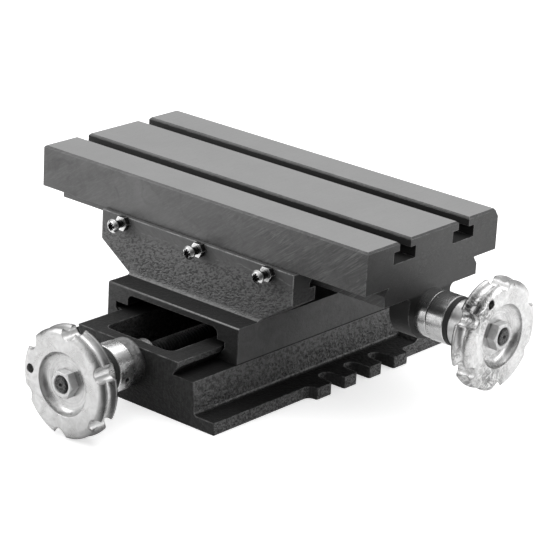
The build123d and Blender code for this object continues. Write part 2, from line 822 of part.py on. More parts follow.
def friction_ring(axis):
    """The dark ring between the dial and the handwheel's hub."""
    with BuildPart() as ring:
        with BuildSketch(axis.offset(seat_long + dial_long)):
            Circle(ring_radius)
            Circle(spigot_radius + push_gap, mode=Mode.SUBTRACT)
        extrude(amount=ring_long)
    return ring.part


def handwheel(axis, turn):
    """A cast handwheel: spigot, hub, dished face, grooved rim and six finger notches."""
    with BuildPart() as wheel:
        with BuildSketch(lengthwise(axis)):
            with BuildLine():
                rear_edge = (wheel_rear, wheel_radius - rear_round)
                rear_crest = (wheel_rear + rear_round, wheel_radius)
                groove_start = (groove_rear, wheel_radius)
                groove_floor = (groove_rear + groove_wide / 2, front_lip_radius - groove_deep)
                groove_end = (groove_rear + groove_wide, front_lip_radius)
                front_crest = (groove_rear + groove_wide + front_lip, front_lip_radius)
                flare_start = (wheel_rear - hub_flare, hub_radius)
                face_edge = (wheel_face, face_radius)
                dish_edge = (wheel_face, recess_radius)
                dish_floor = (hub_flat, hub_flat_radius)
                Polyline(
                    (hub_flat, running_radius),
                    (seat_long + end_gap, running_radius),
                    (seat_long + end_gap, spigot_radius),
                    (hub_start, spigot_radius),
                    (hub_start, hub_radius),
                    flare_start,
                )
                RadiusArc(flare_start, (wheel_rear, hub_radius + hub_flare), -hub_flare)
                Line((wheel_rear, hub_radius + hub_flare), rear_edge)
                TangentArc(rear_edge, rear_crest, tangent=(0, 1))
                Line(rear_crest, groove_start)
                ThreePointArc(groove_start, groove_floor, groove_end)
                Line(groove_end, front_crest)
                RadiusArc(front_crest, face_edge, shoulder_radius)
                Line(face_edge, dish_edge)
                TangentArc(dish_floor, dish_edge, tangent=(0, 1))
                Line(dish_floor, (hub_flat, running_radius))
            make_face()
        revolve(axis=Axis(axis.origin, axis.z_dir))
        # Finger notches through the rim
        with BuildSketch(turned(axis, turn).offset(wheel_rear)):
            with PolarLocations(notch_centre, notch_count):
                Circle(notch_radius)
        extrude(amount=rim_thick, mode=Mode.SUBTRACT)
        # Tapped hole for a crank handle, halfway between two notches
        with BuildSketch(turned(axis, turn + handle_hole_turn).offset(wheel_rear)):
            with Locations((handle_hole_radius, 0)):
                Circle(handle_hole_d / 2)
        extrude(amount=rim_thick, mode=Mode.SUBTRACT)
        # Keyway in the bore
        with BuildSketch(axis.offset(key_start)):
            with Locations((0, screw_radius - key_sunk + key_high / 2)):
                Rectangle(key_wide + end_gap, key_high + end_gap)
        extrude(amount=key_long, mode=Mode.SUBTRACT)
    return wheel.part


def wheel_key(axis):
    """The parallel key between the leadscrew and the handwheel's hub."""
    with BuildPart() as key:
        with BuildSketch(axis.offset(key_start)):
            with Locations((0, screw_radius - key_sunk + key_high / 2)):
                Rectangle(key_wide, key_high)
        extrude(amount=key_long)
    return key.part


def wheel_nut(axis):
    """A hexagon nut in the dish of the handwheel, bevelled on its outer face and bore."""
    corner = wheel_nut_flats / sqrt(3)
    thread = stud_d / 2 + push_gap
    with BuildPart() as nut:
        with BuildSketch(axis.offset(hub_flat)):
            RegularPolygon(wheel_nut_flats / 2, 6, major_radius=False)
        extrude(amount=wheel_nut_high)
        with BuildSketch(lengthwise(axis)):
            with BuildLine():
                Polyline(
                    (hub_flat, thread),
                    (hub_flat, corner),
                    (nut_face - wheel_nut_bevel, corner),
                    (nut_face, wheel_nut_flats / 2 - wheel_nut_bevel / 2),
                    (nut_face, thread + wheel_nut_mouth),
                    (nut_face - wheel_nut_mouth, thread),
                    close=True,
                )
            make_face()
        revolve(axis=Axis(axis.origin, axis.z_dir), mode=Mode.INTERSECT)
    return nut.part


# The two drives are alike but for their casting's wall, their reach and how they stand
drives = (
    ("x", x_axis, x_screw_inner, boss_thick, x_wheel_turn, x_lock_turn),
    ("y", y_axis, y_screw_inner, end_wall, y_wheel_turn, y_lock_turn),
)
for drive, axis, inner, wall, wheel_turn, lock_turn in drives:
    write_out(leadscrew(axis, inner, wall), f"{drive}_leadscrew")
    write_out(thrust_collar(axis, wall), f"{drive}_thrust_collar")
    write_out(collar_pin(axis, wall), f"{drive}_collar_pin")
    write_out(dial(axis, lock_turn), f"{drive}_dial")
    write_out(dial_lock_screw(axis, lock_turn), f"{drive}_dial_lock_screw")
    write_out(friction_ring(axis), f"{drive}_friction_ring")
    write_out(handwheel(axis, wheel_turn), f"{drive}_handwheel")
    write_out(wheel_key(axis), f"{drive}_wheel_key")
    write_out(wheel_nut(axis), f"{drive}_wheel_nut")
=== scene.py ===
import math

import bmesh
import bpy
from mathutils import Matrix, Vector


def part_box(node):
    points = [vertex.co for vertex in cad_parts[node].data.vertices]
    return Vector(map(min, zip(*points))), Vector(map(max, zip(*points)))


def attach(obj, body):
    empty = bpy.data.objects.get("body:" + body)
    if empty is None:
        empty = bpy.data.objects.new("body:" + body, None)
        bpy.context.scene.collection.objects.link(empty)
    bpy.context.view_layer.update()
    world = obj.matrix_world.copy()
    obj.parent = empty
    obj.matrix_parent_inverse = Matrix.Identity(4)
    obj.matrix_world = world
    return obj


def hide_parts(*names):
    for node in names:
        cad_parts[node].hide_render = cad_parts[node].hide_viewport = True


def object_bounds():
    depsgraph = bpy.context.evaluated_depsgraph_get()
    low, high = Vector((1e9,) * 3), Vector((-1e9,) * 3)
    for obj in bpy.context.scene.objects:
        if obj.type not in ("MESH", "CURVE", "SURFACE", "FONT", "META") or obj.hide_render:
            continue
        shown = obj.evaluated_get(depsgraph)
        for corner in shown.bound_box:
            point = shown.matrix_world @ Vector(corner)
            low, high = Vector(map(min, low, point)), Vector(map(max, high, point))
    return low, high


MM = 0.001

# Camera, solved from the photograph's edges
CAMERA_PLACE = (1.1221, -1.3271, 0.6996)
CAMERA_AZIMUTH = 39.96
CAMERA_ELEVATION = 20.23
CAMERA_ROLL = 3.2
CAMERA_LENS = 164.97
CAMERA_SENSOR = 36.0
CAMERA_CLIP = (0.01, 50.0)

# Leadscrews: right-handed trapezoidal thread, as (share of the pitch, share of the depth),
# a plain inner end and a bevelled stud
THREAD_PITCH = 3.0 * MM
THREAD_DEPTH = 1.7 * MM
THREAD_PROFILE = ((0.0, 0.0), (0.37, 0.0), (0.50, 1.0), (0.87, 1.0), (1.0, 0.0))
THREAD_SIDES = 32
WELD = 0.001 * MM
THREAD_START = 5.0 * MM
SCREW_BEVEL = 1.0 * MM
STUD_BACK = 1.5 * MM
STUD_THIN = 1.0 * MM
CENTRE_WIDE = 1.6 * MM
CENTRE_DEEP = 1.4 * MM

# Dials: one division is 0.05 mm of travel
DIAL_DIVISIONS = 60
LONG_MARK_EVERY = 10
MIDDLE_MARK_EVERY = 5
MARK_WIDE = 0.14 * MM
MARK_HIGH = 0.012 * MM
MARK_IN = 0.9 * MM
SHORT_MARK = 1.8 * MM
MIDDLE_MARK = 2.6 * MM
LONG_MARK = 3.6 * MM

# T-slots: how far each is from the table's centre line, and the bounds of the painted shade inside
# them, darker towards the right.
# Here and below a pair is where a finish changes, from one value to another along x, y or z
SLOT_OFF = 33.0 * MM
SLOT_HALF_Y = (0.0122, 0.0123)
SLOT_FLOOR_Z = (0.1193, 0.1195)
SLOT_RIM_Z = (0.1332, 0.1344)
SLOT_DARKER_X = (-0.10, 0.12)

# Table: its ground top, the cutter marks on its sides, the painted shade towards its right, on its
# right end, near its front corner and on the boss below
TABLE_TOP_Z = (0.1335, 0.1340)
TABLE_MARKS_X = (-0.04, 0.09)
TABLE_DARKER_X = (-0.02, 0.15)
TABLE_END_Z = (0.085, 0.118)
TABLE_CORNER_Y = (-0.070, -0.035)
TABLE_BOSS_Z = (0.0885, 0.0905)

# Saddle's walls: their lower edge, the painted highlight along their foot and root, the painted
# shade on their ends and towards the right, and their sand-cast part and milled part, whose edge
# wanders and is scratched along one line
WALL_START_Z = (0.0604, 0.0612)
WALL_END_Z = (0.0600, 0.0608)
WALL_ROOT_Z = (0.0609, 0.0645)
WALL_FOOT_Z = (0.0610, 0.0720)
WALL_SMOOTHER_Z = (0.068, 0.091)
WALL_MILLED_Z = (0.090, 0.096)
WALL_DARKER_X = (0.0, 0.090)
MILLED_WANDER = 3.0 * MM
MILLED_LINE_Z = 95.5 * MM
MILLED_LINE_HALF = 0.7 * MM

# Saddle's slab: its top, the painted shadow towards the right of its front, the painted highlight
# on the lip of its front edge, stronger towards the right, the painted shade in the tunnel inside
# it and the painted shade on its ends below the seam where it meets the base
SLAB_TOP_Z = (0.0606, 0.0609)
SLAB_DARKER_X = (-0.09, 0.04)
LIP_START_Z = (0.0595, 0.0600)
LIP_END_Z = (0.0606, 0.0607)
LIP_BRIGHTER_X = (-0.080, 0.020)
TUNNEL_HALF_X = (0.0600, 0.0605)
TUNNEL_TOP_Z = (0.0600, 0.0604)
SEAM_Z = (0.0337, 0.0343)

# Base: its flanks, painted lighter towards the top and the back as painted light, the top of its
# foot, the painted highlight along the flanks' root, the painted shade on the ledge and in the
# pocket, and how far in front of its front face the dial's bare seat starts
FLANK_SPECKS_Z = (0.011, 0.024)
FLANK_LIGHTER_Z = (0.014, 0.032)
FLANK_LIGHTER_Y = (0.0, 0.12)
FLANK_SMOOTHER_Z = (0.020, 0.032)
FOOT_TOP_Z = (0.0100, 0.0105)
ROOT_START_Z = (0.0102, 0.0105)
ROOT_END_Z = (0.0112, 0.0116)
LEDGE_TOP_Z = (0.0400, 0.0410)
POCKET_HALF_X = (0.0618, 0.0626)
SEAT_START = 0.4 * MM
SEAT_FULL = 1.2 * MM

# Half the width of the dark joint line on each turned seat
GAP_HALF = (0.4 * MM, 0.5 * MM)

# Gib screws: the height of their heads and how softly their brightness ends, the painted shade
# around each cross recess (half its width and how far it reaches) and where each row's middle screw
# stands
HEAD_HIGH = 3.6 * MM
HEAD_EDGE = 0.1 * MM
CROSS_HALF = 1.1 * MM
CROSS_REACH = 3.5 * MM
MIDDLE_SCREW = {"x": 5.5 * MM, "y": 0.0}

# Handwheels: the radius of the turned face and how softly it ends, where the rim is darkened as
# painted shade, the rim's width, and the upper one's pitted patches, which also stand in for a
# painted dark reflection, as (across, up, reach, strength)
TURNED_FACE = 20.0 * MM
TURNED_EDGE = 1.0 * MM
RIM_SHADE = (37.0 * MM, 39.2 * MM)
WHEEL_RIM = 14.0 * MM
WHEEL_PATCHES = (
    (-26.0 * MM, 24.0 * MM, 20.0 * MM, 0.9),
    (-12.0 * MM, -32.0 * MM, 26.0 * MM, 0.75),
    (36.0 * MM, -4.0 * MM, 12.0 * MM, 0.4),
    (-39.0 * MM, -9.0 * MM, 10.0 * MM, 0.6),
)

# Light: a dome that fades to its edge, a bright wall to the left and the dark room to the right,
# each with how squarely it has to be faced, and softboxes as (name, place, size, power)
DOME_HIGH = 0.9
DOME_EDGE = 0.18
DOME_TOP = 1.0
BRIGHT_WALL = (-0.62, -0.75, 0.22)
WALL_FACED = (0.80, 0.94)
WALL_STRENGTH = 0.8
DARK_ROOM = (0.80, -0.52, 0.28)
ROOM_FACED = (0.60, 0.90)
ROOM_SHARE = 0.15
SOFTBOXES = (
    ("top_box", (-0.3, 0.6, 1.9), 1.6, 14.0),
    ("left_box", (-0.50, -0.62, 0.40), 0.35, 1.0),
    ("right_box", (0.95, 0.62, 0.28), 0.5, 2.2),
)
LIGHT_AIM = (0.0, 0.0, 0.07)

# Floor: how far it runs, how it looks to the object and the camera, where reflections of it are
# dark, and its shallow dip in front of the base
FLOOR_REACH = 6.0
FLOOR_BOUNCE = 0.20
FLOOR_GLOW = 0.62
FLOOR_SHINE = 0.35
FLOOR_DARK_X = (-0.02, 0.06)
FLOOR_DARK_Y = (-0.17, -0.22)
DIP_INSET = 10.0 * MM
DIP_LONG = 60.0 * MM
DIP_CLEAR = 0.5 * MM
DIP_STEPS = 24

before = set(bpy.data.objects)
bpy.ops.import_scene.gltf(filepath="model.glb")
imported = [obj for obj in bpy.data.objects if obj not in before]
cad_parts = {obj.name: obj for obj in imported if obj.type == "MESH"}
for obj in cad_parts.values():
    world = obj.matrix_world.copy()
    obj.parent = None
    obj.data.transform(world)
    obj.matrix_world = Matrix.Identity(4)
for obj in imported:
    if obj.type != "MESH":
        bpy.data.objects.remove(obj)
cad_low, cad_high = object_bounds()

# Joint lines between each dial and its seat, and the front face of the base, which is taken from
# its back face because the dial's seat stands out in front
X_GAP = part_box("x_dial")[0][0]
Y_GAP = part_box("y_dial")[1][1]
BASE_FRONT = -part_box("base")[1][1]


class Graph:
    """Short names for the nodes of one material or world."""

    def __init__(self, tree, coordinates="Object"):
        self.nodes = tree.nodes
        self.links = tree.links
        self.coords = self.nodes.new("ShaderNodeTexCoord").outputs[coordinates]

    def join(self, value, socket):
        """Set a socket from a number, a colour or another node's output."""
        if isinstance(value, bpy.types.NodeSocket):
            self.links.new(value, socket)
        else:
            socket.default_value = value

    def math(self, operation, a, b=0.0):
        node = self.nodes.new("ShaderNodeMath")
        node.operation = operation
        self.join(a, node.inputs[0])
        self.join(b, node.inputs[1])
        return node.outputs[0]

    def both(self, *masks):
        """The product of masks: 1 only where each of them is."""
        product = masks[0]
        for mask in masks[1:]:
            product = self.math("MULTIPLY", product, mask)
        return product

    def off(self, a, b):
        """How far apart two values are."""
        return self.math("ABSOLUTE", self.math("SUBTRACT", a, b))

    def vector_math(self, operation, a, b):
        """One value worked out from two vectors."""
        node = self.nodes.new("ShaderNodeVectorMath")
        node.operation = operation
        self.join(a, node.inputs[0])
        self.join(b, node.inputs[1])
        return node.outputs["Value"]

    def dot(self, a, b):
        return self.vector_math("DOT_PRODUCT", a, b)

    def distance(self, place, vector=None):
        return self.vector_math("DISTANCE", vector or self.coords, place)

    def lines(self, value, scale):
        """Noise along one value only."""
        node = self.nodes.new("ShaderNodeTexNoise")
        node.noise_dimensions = "1D"
        self.join(value, node.inputs["W"])
        node.inputs["Scale"].default_value = scale
        return node.outputs["Fac"]

    def scaled(self, scale, spin=(0, 0, 0)):
        """Object coordinates turned and then stretched."""
        vector = self.coords
        for name, values in (("Rotation", [math.radians(a) for a in spin]), ("Scale", scale)):
            node = self.nodes.new("ShaderNodeMapping")
            self.join(vector, node.inputs["Vector"])
            node.inputs[name].default_value = values
            vector = node.outputs[0]
        return vector

    def noise(self, scale, detail=4.0, rough=0.55, vector=None, warp=0.0):
        node = self.nodes.new("ShaderNodeTexNoise")
        self.join(vector or self.coords, node.inputs["Vector"])
        node.inputs["Scale"].default_value = scale
        node.inputs["Detail"].default_value = detail
        node.inputs["Roughness"].default_value = rough
        node.inputs["Distortion"].default_value = warp
        return node.outputs["Fac"]

    def stretched(self, scale, detail, rough, spin=(0, 0, 0), warp=0.0):
        """Noise with its own scale along each axis, slanted where asked."""
        return self.noise(1.0, detail, rough, self.scaled(scale, spin), warp)

    def cells(self, scale):
        node = self.nodes.new("ShaderNodeTexVoronoi")
        self.join(self.coords, node.inputs["Vector"])
        node.inputs["Scale"].default_value = scale
        return node.outputs["Distance"]

    def spread(self, value, low, high, to_low=0.0, to_high=1.0):
        """Map a value's range to another one, held at both ends."""
        node = self.nodes.new("ShaderNodeMapRange")
        self.join(value, node.inputs["Value"])
        node.inputs["From Min"].default_value = low
        node.inputs["From Max"].default_value = high
        node.inputs["To Min"].default_value = to_low
        node.inputs["To Max"].default_value = to_high
        return node.outputs["Result"]

    def below(self, value, low, high, most=1.0):
        """The most where a value is low, 0 where it is high."""
        return self.spread(value, low, high, most, 0.0)

    def between(self, value, rise, fall):
        """1 between two places, each given as the pair over which it changes."""
        return self.both(self.spread(value, *rise), self.below(value, *fall))

    def blend(self, factor, a, b):
        """Mix two colours."""
        node = self.nodes.new("ShaderNodeMix")
        node.data_type = "RGBA"
        self.join(factor, node.inputs["Factor"])
        self.join(a, node.inputs[6])
        self.join(b, node.inputs[7])
        return node.outputs[2]

    def axis(self, source, index):
        """One coordinate of the object's place or its surface direction."""
        node = self.nodes.new("ShaderNodeSeparateXYZ")
        if source == "place":
            self.join(self.coords, node.inputs[0])
        else:
            face = self.nodes.new("ShaderNodeNewGeometry")
            self.join(face.outputs["True Normal"], node.inputs[0])
        return node.outputs[index]

    def facing(self, index):
        """How squarely the surface faces along an axis, either way."""
        return self.math("ABSOLUTE", self.axis("normal", index))

    def on_ends(self):
        """1 on surfaces that face along the x axis."""
        return self.spread(self.facing(0), 0.7, 0.9)

    def on_tops(self, most=1.0):
        """The most on surfaces that face up."""
        return self.spread(self.axis("normal", 2), 0.5, 0.8, 0.0, most)

    def rounded(self, radius):
        """The surface direction as if every edge were rounded."""
        node = self.nodes.new("ShaderNodeBevel")
        node.samples = 6
        node.inputs["Radius"].default_value = radius
        return node.outputs["Normal"]

    def edge_and_crease(self, radius):
        """Where the surface turns within a radius: 1 along edges and creases, 0 elsewhere; edges
        are lightened there, partly as wear and partly as painted highlight.
        """
        face = self.nodes.new("ShaderNodeNewGeometry").outputs["True Normal"]
        return self.spread(self.dot(self.rounded(radius), face), 0.99, 0.90)

    def crevice(self, reach, shut=0.35, open_from=0.8):
        """How enclosed the surface is within a reach: 1 deep in a hole or gap, 0 in the open."""
        node = self.nodes.new("ShaderNodeAmbientOcclusion")
        node.samples = 6
        node.inputs["Distance"].default_value = reach
        return self.below(node.outputs["AO"], shut, open_from)

    def relief(self, layers, edge=0.0):
        """Stack bumps on the shader's normal: each layer is a height, its depth and a strength."""
        normal = self.rounded(edge) if edge else None
        for height, depth, strength in layers:
            node = self.nodes.new("ShaderNodeBump")
            node.inputs["Distance"].default_value = depth
            self.join(strength, node.inputs["Strength"])
            self.join(height, node.inputs["Height"])
            if normal:
                self.join(normal, node.inputs["Normal"])
            normal = node.outputs["Normal"]
        self.join(normal, self.shader.inputs["Normal"])


class Finish(Graph):
    """A new material and the nodes of its surface."""

    def __init__(self, name):
        self.material = bpy.data.materials.new(name)
        self.material.use_nodes = True
        super().__init__(self.material.node_tree)
        self.shader = self.nodes["Principled BSDF"]

    def finish(self, colour, rough, metal, gloss=0.5):
        self.join(colour, self.shader.inputs["Base Color"])
        self.join(rough, self.shader.inputs["Roughness"])
        self.shader.inputs["Metallic"].default_value = metal
        self.shader.inputs["Specular IOR Level"].default_value = gloss


def grey(value, warm=0.0):
    """A neutral colour, a little warm where asked."""
    return (value * (1 + warm), value, value * (1 - warm), 1.0)


def table_sides(g, cutter, streaks, cloud):
    """The colour of the table's milled sides, with painted shade that darkens them towards the
    right, on the right end most of all low down, near its front corner and to near black on the
    boss; downward faces are painted lighter as painted light in their shade.
    """
    x, y, z = (g.axis("place", i) for i in range(3))
    smear = g.noise(60.0, 6.0, 0.65, warp=1.5)
    side = g.blend(g.spread(cloud, 0.35, 0.7), grey(0.125), grey(0.195))
    side = g.blend(g.spread(cutter, 0.45, 0.75, 0.0, 0.35), side, grey(0.29))
    side = g.blend(g.spread(smear, 0.52, 0.75, 0.0, 0.55), side, grey(0.06))
    marked = g.both(g.spread(x, *TABLE_MARKS_X), g.spread(g.noise(45.0), 0.40, 0.62, 0.25, 1.0))
    side = g.blend(g.both(g.spread(streaks, 0.52, 0.40, 0.0, 0.5), marked), side, grey(0.05))
    side = g.blend(g.both(g.spread(streaks, 0.54, 0.64, 0.0, 0.6), marked), side, grey(0.34))
    # painted shade: the sides darken towards the right
    side = g.blend(g.spread(x, *TABLE_DARKER_X, 0.0, 0.40), side, grey(0.03))
    # painted shade: the right end face is painted darker, most of all lower down
    end = g.both(g.on_ends(), g.spread(z, *TABLE_END_Z, 0.90, 0.58))
    side = g.blend(end, side, grey(0.045))
    # painted shade: the right end face darkens near its front corner
    corner = g.both(g.on_ends(), g.below(y, *TABLE_CORNER_Y, 0.55))
    side = g.blend(corner, side, grey(0.02))
    # painted light: downward faces are painted lighter, standing in for light in their shade
    side = g.blend(g.spread(g.axis("normal", 2), -0.2, -0.6, 0.0, 0.8), side, grey(0.42))
    # painted shade: the boss is painted near black
    return g.blend(g.below(z, *TABLE_BOSS_Z, 0.96), side, grey(0.008))


def in_slots(g, top):
    """1 inside the T-slots, up to their bevelled rims; top is 1 on the table's top."""
    z = g.axis("place", 2)
    off_slot = g.off(g.math("ABSOLUTE", g.axis("place", 1)), SLOT_OFF)
    inside = g.both(g.below(off_slot, *SLOT_HALF_Y), g.spread(z, *SLOT_FLOOR_Z))
    inside = g.both(inside, g.below(g.facing(0), 0.1, 0.2), g.math("SUBTRACT", 1.0, top))
    return g.both(inside, g.below(z, *SLOT_RIM_Z))


def table_iron():
    """Ground cast iron: satin top, milled sides with slanting cutter marks, painted shade in the
    slots, and edges lightened partly as wear and partly as painted highlight.
    """
    g = Finish("table_iron")
    cutter = g.stretched((130, 60, 800), 5.0, 0.65, spin=(0, 34, 0), warp=0.5)
    streaks = g.stretched((60, 420, 800), 3.0, 0.7, spin=(0, 38, 0), warp=1.0)
    grind = g.stretched((14, 2200, 200), 3.0, 0.6)
    cloud = g.noise(22.0, 5.0, 0.6)
    upward = g.spread(g.axis("normal", 2), 0.8, 0.95)
    top = g.both(upward, g.spread(g.axis("place", 2), *TABLE_TOP_Z))
    ground = g.blend(g.spread(cloud, 0.3, 0.75), grey(0.315), grey(0.345))
    colour = g.blend(top, table_sides(g, cutter, streaks, cloud), ground)
    slot = in_slots(g, top)
    # painted shade: the insides of the T-slots are painted dark, darker towards the right
    shade = g.blend(g.spread(g.axis("place", 0), *SLOT_DARKER_X), grey(0.070), grey(0.030))
    colour = g.blend(slot, colour, shade)
    colour = g.blend(g.below(g.cells(420.0), 0.06, 0.16, 0.35), colour, grey(0.05))
    # edges and creases are lightened, partly wear and partly a painted highlight
    bare = g.both(g.edge_and_crease(0.0009), g.spread(g.noise(190.0), 0.42, 0.58, 0.1, 0.6))
    colour = g.blend(bare, colour, grey(0.40))
    rough = g.math("MAXIMUM", g.spread(cutter, 0.3, 0.8, 0.40, 0.58), g.both(slot, 0.95))
    g.finish(colour, rough, 0.35)
    g.relief([(cutter, 0.00015, 0.5), (streaks, 0.0002, 0.35), (grind, 0.00004, 0.25)], edge=0.0006)
    return g.material


def saddle_walls(g, cast, cutter, cloud, smear, band):
    """The colour of the saddle's walls: sand-cast below with a painted highlight along their foot,
    milled above, and painted shade towards the right and on their ends.
    """
    z = g.axis("place", 2)
    skin = g.blend(g.spread(cloud, 0.3, 0.7), grey(0.135), grey(0.175))
    skin = g.blend(g.spread(cast, 0.46, 0.56, 0.0, 0.75), skin, grey(0.28))
    skin = g.blend(g.spread(cast, 0.45, 0.38, 0.0, 0.55), skin, grey(0.04))
    # painted highlight: the walls are painted lighter along their foot and root
    skin = g.blend(g.below(z, *WALL_FOOT_Z, 0.45), skin, grey(0.27))
    skin = g.blend(g.below(z, *WALL_ROOT_Z, 0.75), skin, grey(0.42))
    smooth = g.blend(g.spread(cutter, 0.35, 0.75), grey(0.160), grey(0.215))
    smooth = g.blend(g.spread(smear, 0.55, 0.75, 0.0, 0.35), smooth, grey(0.09))
    walls = g.blend(g.spread(band, *WALL_MILLED_Z), skin, smooth)
    # painted shade: the walls darken towards the right
    walls = g.blend(g.spread(g.axis("place", 0), *WALL_DARKER_X, 0.0, 0.40), walls, grey(0.04))
    # painted shade: the walls' end faces are painted darker
    end = g.both(g.on_ends(), g.spread(z, *WALL_END_Z), 0.6)
    return g.blend(end, walls, grey(0.03))


def saddle_slab(g, cast, smear):
    """The colour of the saddle's slab: dark in front, with painted shadow that darkens the front
    towards the right, dark on top and lighter at its ends.
    """
    flank = g.blend(g.spread(smear, 0.4, 0.7), grey(0.150), grey(0.190))
    # painted shadow: the slab's front darkens towards the right
    dark = g.blend(g.spread(g.axis("place", 0), *SLAB_DARKER_X), grey(0.105), grey(0.022))
    dark = g.blend(g.on_tops(), dark, grey(0.034))
    dark = g.blend(g.spread(cast, 0.50, 0.58, 0.0, 0.35), dark, grey(0.045))
    return g.blend(g.on_ends(), dark, flank)


def saddle_iron():
    """Cast iron: rough sand-cast walls, milled wall tops and a dark slab, with painted shade in its
    tunnel and on its ends low down, a painted highlight on its front lip, and edges lightened
    partly as wear and partly as painted highlight.
    """
    g = Finish("saddle_iron")
    across = g.facing(1)
    x, z = g.axis("place", 0), g.axis("place", 2)
    cast = g.stretched((350, 350, 620), 2.0, 0.5, spin=(0, 22, 0), warp=0.7)
    lumps = g.noise(110.0, 2.0, 0.5)
    cutter = g.stretched((120, 90, 700), 4.0, 0.6, spin=(0, -30, 0))
    cloud = g.noise(18.0, 4.0, 0.6)
    smear = g.noise(60.0, 6.0, 0.65, warp=1.5)
    band = g.math("ADD", z, g.spread(cloud, 0.3, 0.7, -MILLED_WANDER, MILLED_WANDER))
    walls = saddle_walls(g, cast, cutter, cloud, smear, band)
    colour = g.blend(g.spread(z, *SLAB_TOP_Z), saddle_slab(g, cast, smear), walls)
    # painted shade: the inside of the tunnel is painted near black
    tunnel = g.both(g.below(g.math("ABSOLUTE", x), *TUNNEL_HALF_X), g.below(across, 0.5, 0.7))
    colour = g.blend(g.both(tunnel, g.below(z, *TUNNEL_TOP_Z)), colour, grey(0.02))
    line = g.below(g.off(band, MILLED_LINE_Z), 0.0, MILLED_LINE_HALF)
    scratch = g.both(line, g.spread(g.noise(210.0), 0.44, 0.56, 0.0, 0.6))
    colour = g.blend(g.both(scratch, g.spread(across, 0.5, 0.7)), colour, grey(0.32))
    # edges are lightened, partly wear and partly a painted highlight
    worn_edge_highlight = g.both(g.edge_and_crease(0.0016), g.spread(g.noise(170.0), 0.40, 0.56, 0.25, 0.9))
    colour = g.blend(g.both(worn_edge_highlight, g.spread(z, *WALL_START_Z, 0.2, 1.0)), colour, grey(0.62))
    # painted highlight: a light line is painted along the slab's front top edge, stronger towards
    # the right
    lip = g.both(g.between(z, LIP_START_Z, LIP_END_Z), g.spread(across, 0.4, 0.6))
    lip = g.both(lip, g.spread(x, *LIP_BRIGHTER_X, 0.10, 0.80))
    lip = g.both(lip, g.spread(g.noise(500.0), 0.38, 0.52, 0.55, 1.0))
    colour = g.blend(lip, colour, grey(0.44))
    # painted shade: the ends below the seam with the base are painted near black
    seam = g.both(g.below(z, *SEAM_Z), g.on_ends())
    colour = g.blend(seam, colour, grey(0.008))
    g.finish(colour, g.spread(cast, 0.3, 0.7, 0.52, 0.68), 0.1, 0.25)
    pits = g.spread(band, *WALL_SMOOTHER_Z, 0.8, 0.07)
    pits = g.both(pits, g.spread(z, *WALL_START_Z, 0.25, 1.0))
    g.relief([(lumps, 0.0016, pits), (cast, 0.0030, pits), (cutter, 0.00008, 0.3)], edge=0.0007)
    return g.material


def base_flanks(g, cast, cloud):
    """The colour of the base's rough flanks, painted lighter towards the top and the back as
    painted light.
    """
    z = g.axis("place", 2)
    light = g.blend(g.spread(cloud, 0.3, 0.7), grey(0.110), grey(0.150))
    # painted light: the flanks are painted lighter higher up and towards the back
    light = g.blend(g.spread(z, *FLANK_LIGHTER_Z), light, grey(0.165))
    light = g.blend(g.spread(g.axis("place", 1), *FLANK_LIGHTER_Y, 0.0, 0.7), light, grey(0.26))
    light = g.blend(g.spread(cast, 0.46, 0.58, 0.0, 0.5), light, grey(0.30))
    light = g.blend(g.spread(cast, 0.45, 0.38, 0.0, 0.45), light, grey(0.03))
    specks = g.spread(g.noise(800.0, 2.0, 0.6), 0.54, 0.62)
    return g.blend(g.both(specks, g.below(z, *FLANK_SPECKS_Z, 0.75)), light, grey(0.015))


def base_front(g, cast, cloud):
    """The colour of the base's dark front, back and top, with brush marks, and painted shade that
    darkens the tops.
    """
    dark = g.blend(g.spread(cloud, 0.3, 0.7), grey(0.026), grey(0.036))
    dark = g.blend(g.spread(cast, 0.46, 0.58, 0.0, 0.6), dark, grey(0.055))
    brush = g.stretched((800, 800, 90), 4.0, 0.6)
    dark = g.blend(g.spread(brush, 0.48, 0.66, 0.0, 0.5), dark, grey(0.070))
    # painted shade: surfaces facing up are painted darker
    return g.blend(g.on_tops(0.55), dark, grey(0.012))


